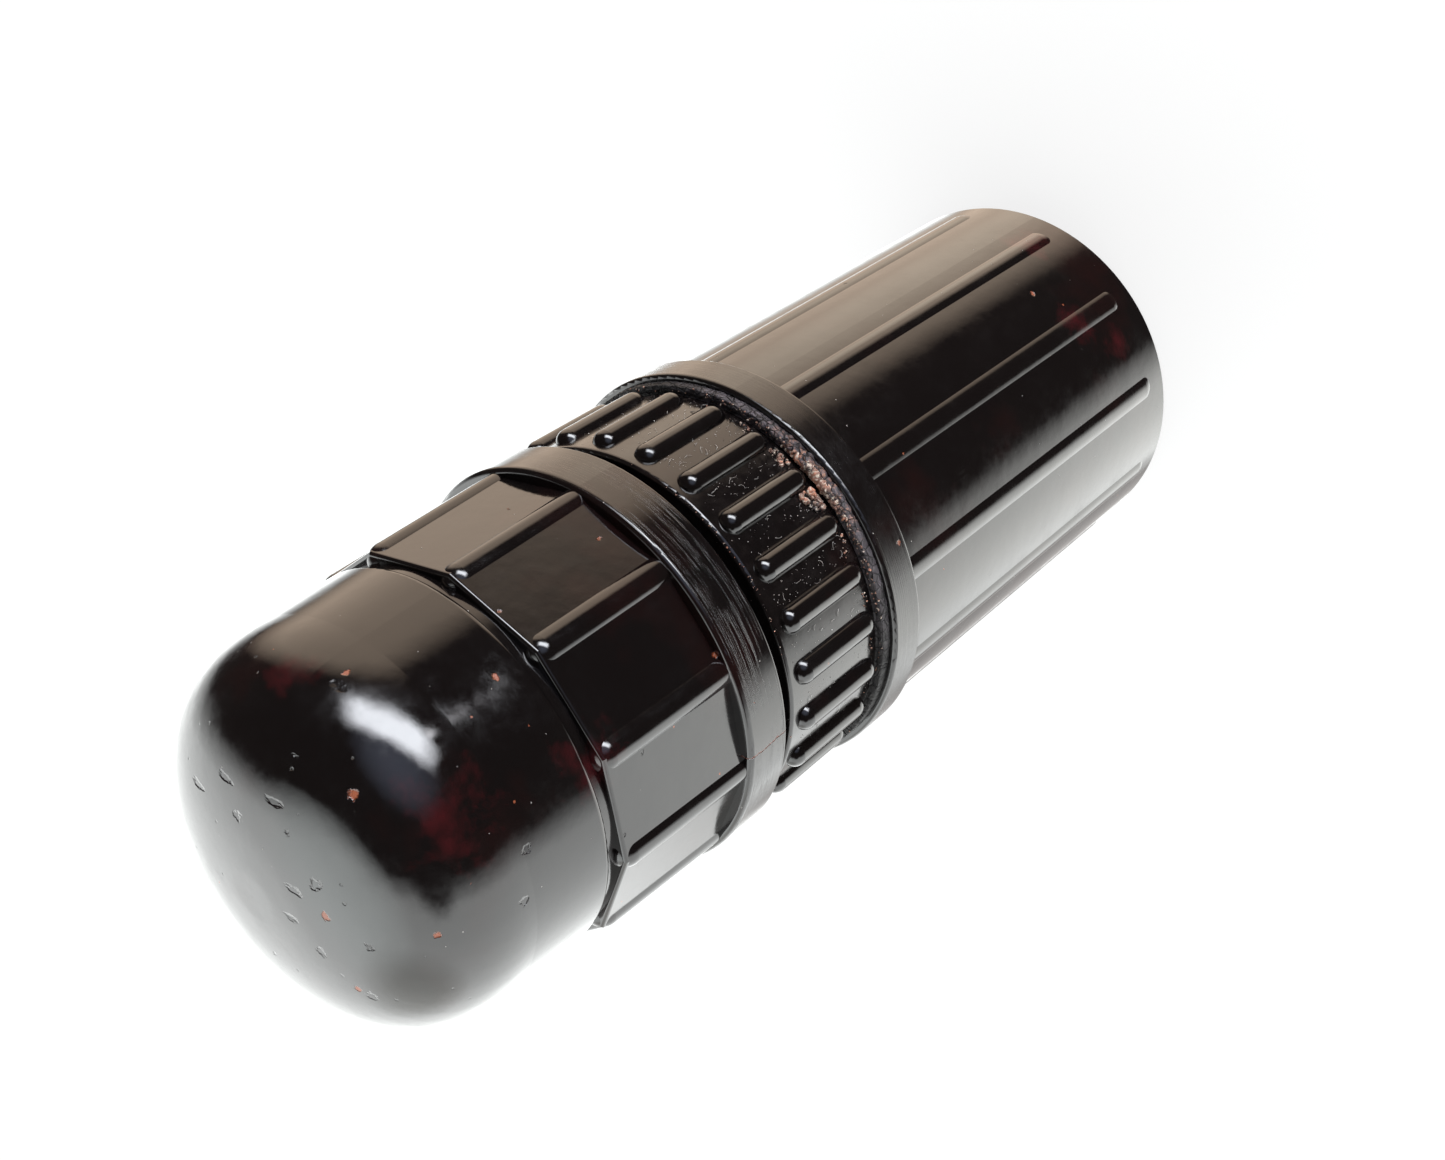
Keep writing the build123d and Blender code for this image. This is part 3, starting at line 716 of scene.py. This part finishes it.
def make_camera():
    """Camera at the photograph's viewing angle, rolled so that the tank lies across the frame."""
    azimuth = math.radians(CAMERA_AZIMUTH)
    elevation = math.radians(CAMERA_ELEVATION)
    back = Vector((math.sin(azimuth) * math.cos(elevation), -math.cos(azimuth) * math.cos(elevation),
                   math.sin(elevation)))
    data = bpy.data.cameras.new("photo_camera")
    data.lens = CAMERA_LENS
    data.sensor_width = SENSOR_WIDTH
    data.clip_start = 0.01
    data.clip_end = 20.0
    camera = bpy.data.objects.new("photo_camera", data)
    bpy.context.scene.collection.objects.link(camera)
    level = (-back).to_track_quat("-Z", "Y").to_matrix()
    roll = Matrix.Rotation(math.radians(-CAMERA_ROLL), 3, "Z")
    camera.matrix_world = Matrix.Translation(CAMERA_AIM + back * CAMERA_DISTANCE) @ (level @ roll).to_4x4()
    bpy.context.scene.camera = camera


def make_floor():
    """Plain pale floor under the base."""
    half = 6.0
    mesh = bpy.data.meshes.new("floor")
    corners = [(-half, -half, 0), (half, -half, 0), (half, half, 0), (-half, half, 0)]
    mesh.from_pydata(corners, [], [(0, 1, 2, 3)])
    floor = bpy.data.objects.new("floor", mesh)
    bpy.context.scene.collection.objects.link(floor)
    material, tree, shader = new_material("pale_floor")
    unevenness = noise_value(tree, coordinates(tree), 0.01)
    pale = mix_colour(tree, unevenness, (0.16, 0.16, 0.16), (0.17, 0.17, 0.17))
    tree.links.new(pale, shader.inputs["Base Color"])
    set_inputs(shader, Roughness=1.0, IOR=1.0, Emission_Color=(1.0, 1.0, 1.0, 1.0), Emission_Strength=0.84)
    mesh.materials.append(material)
    floor.visible_glossy = False
    floor.visible_diffuse = False
    floor.visible_shadow = False


def sky_direction(elevation, azimuth):
    """Direction from degrees above the table and degrees about its upright, from +Z."""
    high, turn = math.radians(elevation), math.radians(azimuth)
    level = Vector((0, 0, 1)) * math.cos(turn) + TABLE_ACROSS * math.sin(turn)
    return TABLE_UP * math.sin(high) + level * math.cos(high)


def make_world():
    """Soft studio surround: white table below, dim room above with a pale wall and a window."""
    world = bpy.data.worlds.new("studio")
    bpy.context.scene.world = world
    world.use_nodes = True
    tree = world.node_tree
    tree.nodes.clear()
    output = tree.nodes.new("ShaderNodeOutputWorld")
    background = tree.nodes.new("ShaderNodeBackground")
    tree.links.new(background.outputs["Background"], output.inputs["Surface"])
    direction = tree.nodes.new("ShaderNodeTexCoord").outputs["Generated"]

    def along(axis):
        return vector_node(tree, "DOT_PRODUCT", direction, axis.normalized())

    def lobe(axis, outer, inner):
        """One within the inner angle of an axis, zero beyond the outer, in degrees."""
        return ramp(tree, along(axis), math.cos(math.radians(outer)), math.cos(math.radians(inner)))

    room = (0.055, 0.042, 0.038)
    table = ramp(tree, along(-TABLE_UP), 0.06, 0.32)
    colour = mix_colour(tree, table, room, (2.85, 2.91, 2.88))
    # Direction, outer and inner angle in degrees, colour. Later patches lie over earlier ones.
    patches = [
        (sky_direction(-24, -6), 34, 10, (3.8, 4.0, 3.95)),      # table in front of the cap
        (sky_direction(-66, 20), 26, 10, (1.8, 1.82, 1.75)),     # shaded table under the cap
        (sky_direction(-20, 148), 26, 8, (3.4, 3.42, 3.3)),      # table beside the body
        (sky_direction(-43, 188), 19, 9, (0.75, 0.72, 0.7)),     # shade close under the body
        (sky_direction(-6, 56), 19, 9, room),                    # dark gap at the table's far edge
        (sky_direction(29, -135), 40, 27, (1.9, 1.5, 1.17)),     # brownish wall
        (sky_direction(26, -146), 13, 4, (2.6, 2.15, 1.7)),      # brightest part of that wall
        (Vector((0.87, -0.43, 0.22)), 30, 2, (0.65, 0.72, 0.95)),   # bluish glow by the window
        (Vector((0.86, -0.36, -0.37)), 3.2, 1.5, (9.0, 9.0, 9.4)),  # small lamp
    ]
    for axis, outer, inner, light in patches:
        colour = mix_colour(tree, lobe(axis, outer, inner), colour, light)

    window_long = Vector((0.175, 0.844, 0.507)).normalized()
    window_short = Vector((-0.015, 0.517, -0.856)).normalized()
    window_middle = Vector((0.984, -0.158, -0.085))
    wide = math_node(tree, "ABSOLUTE", math_node(tree, "SUBTRACT", along(window_long),
                                                 window_long.dot(window_middle)))
    tall = math_node(tree, "ABSOLUTE", math_node(tree, "SUBTRACT", along(window_short),
                                                 window_short.dot(window_middle)))
    near_side = ramp(tree, along(window_middle), 0.5, 0.6)
    above_band = ramp(tree, along(Vector((0, 0, 1))), -0.36, -0.29)
    window = product(tree, ramp(tree, wide, 0.50, 0.30), ramp(tree, tall, 0.24, 0.10), near_side, above_band)
    colour = mix_colour(tree, window, colour, (15.5, 16.0, 17.0))
    seen = tree.nodes.new("ShaderNodeLightPath").outputs["Is Camera Ray"]
    tree.links.new(mix_colour(tree, seen, colour, (0.97, 0.97, 0.97)), background.inputs["Color"])


bpy.context.scene.view_settings.view_transform = "Standard"
make_camera()
make_floor()
make_world()

# Places in millimetres where orange filler shows, and where the moulding glows dull red.
CAP_FLECKS = [((16.2, -10.1, 131.9), 0.6), ((22.0, -2.4, 125.3), 0.45), ((19.8, -11.0, 114.8), 0.45),
              ((3.8, -9.9, 136.4), 0.55), ((17.5, -15.5, 124.0), 0.5), ((22.8, 3.5, 118.0), 0.4)]
CAP_RED = [((14.0, -17.0, 126.5), 6.5), ((11.5, -19.5, 111.0), 5.0), ((21.0, 3.0, 127.5), 4.5),
           ((-16.0, 15.0, 124.0), 6.0)]
TANK_RED = [((19.5, -15.0, 14.0), 4.5), ((15.5, -19.0, 8.0), 3.5), ((24.0, -3.0, 8.0), 5.0)]

satin = satin_phenolic("phenolic_satin")
rubber = soft_rubber("rubber_soft")
brass = worked_metal("brass_turned", (0.60, 0.43, 0.18), (0.22, 0.14, 0.07), (0.3, 0.3, 7.0), 0.45)
steel = worked_metal("steel_strip", (0.56, 0.56, 0.54), (0.30, 0.28, 0.26), (0.4, 0.4, 6.0), 0.5)
finishes = {
    "tank_body": polished_phenolic("phenolic_tank", TANK_RED, (), 0.10, 0.03, tank_wear),
    "head_collar": polished_phenolic("phenolic_collar", (), (), 0.05, 0.04, collar_wear),
    "dome_cap": polished_phenolic("phenolic_cap", CAP_RED, CAP_FLECKS, 0.10, 0.05, cap_wear),
    "head_bush": brass,
    "knob_nut": brass,
    "film_clip": steel,
    "clip_pin": steel,
    "cap_washer": rubber,
    "spindle_washer": rubber,
    "stopper_washer": rubber,
    "thermometer_glass": clear_glass("glass_tube"),
    "thermometer_column": red_liquid("liquid_red"),
    "thermometer_scale": marked_card("scale_card"),
}
for name, node in nodes.items():
    node.data.materials.clear()
    node.data.materials.append(finishes.get(name, satin))

crumb = crumb_rubber("rubber_crumb")
lint = lint_fibre("pale_lint")
perished = perished_rubber("rubber_perished")
gasket = new_piece("crumbled_gasket", gasket_ring, perished, "head_seal")
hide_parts("flange_gasket")
new_piece("seal_crumbs", seal_crumbs, crumb, "head_seal")
new_piece("collar_crumbs", collar_crumbs, crumb, "head")
new_piece("collar_dust", collar_dust, lint, "head")
new_piece("collar_lint", collar_lint, lint, "head")
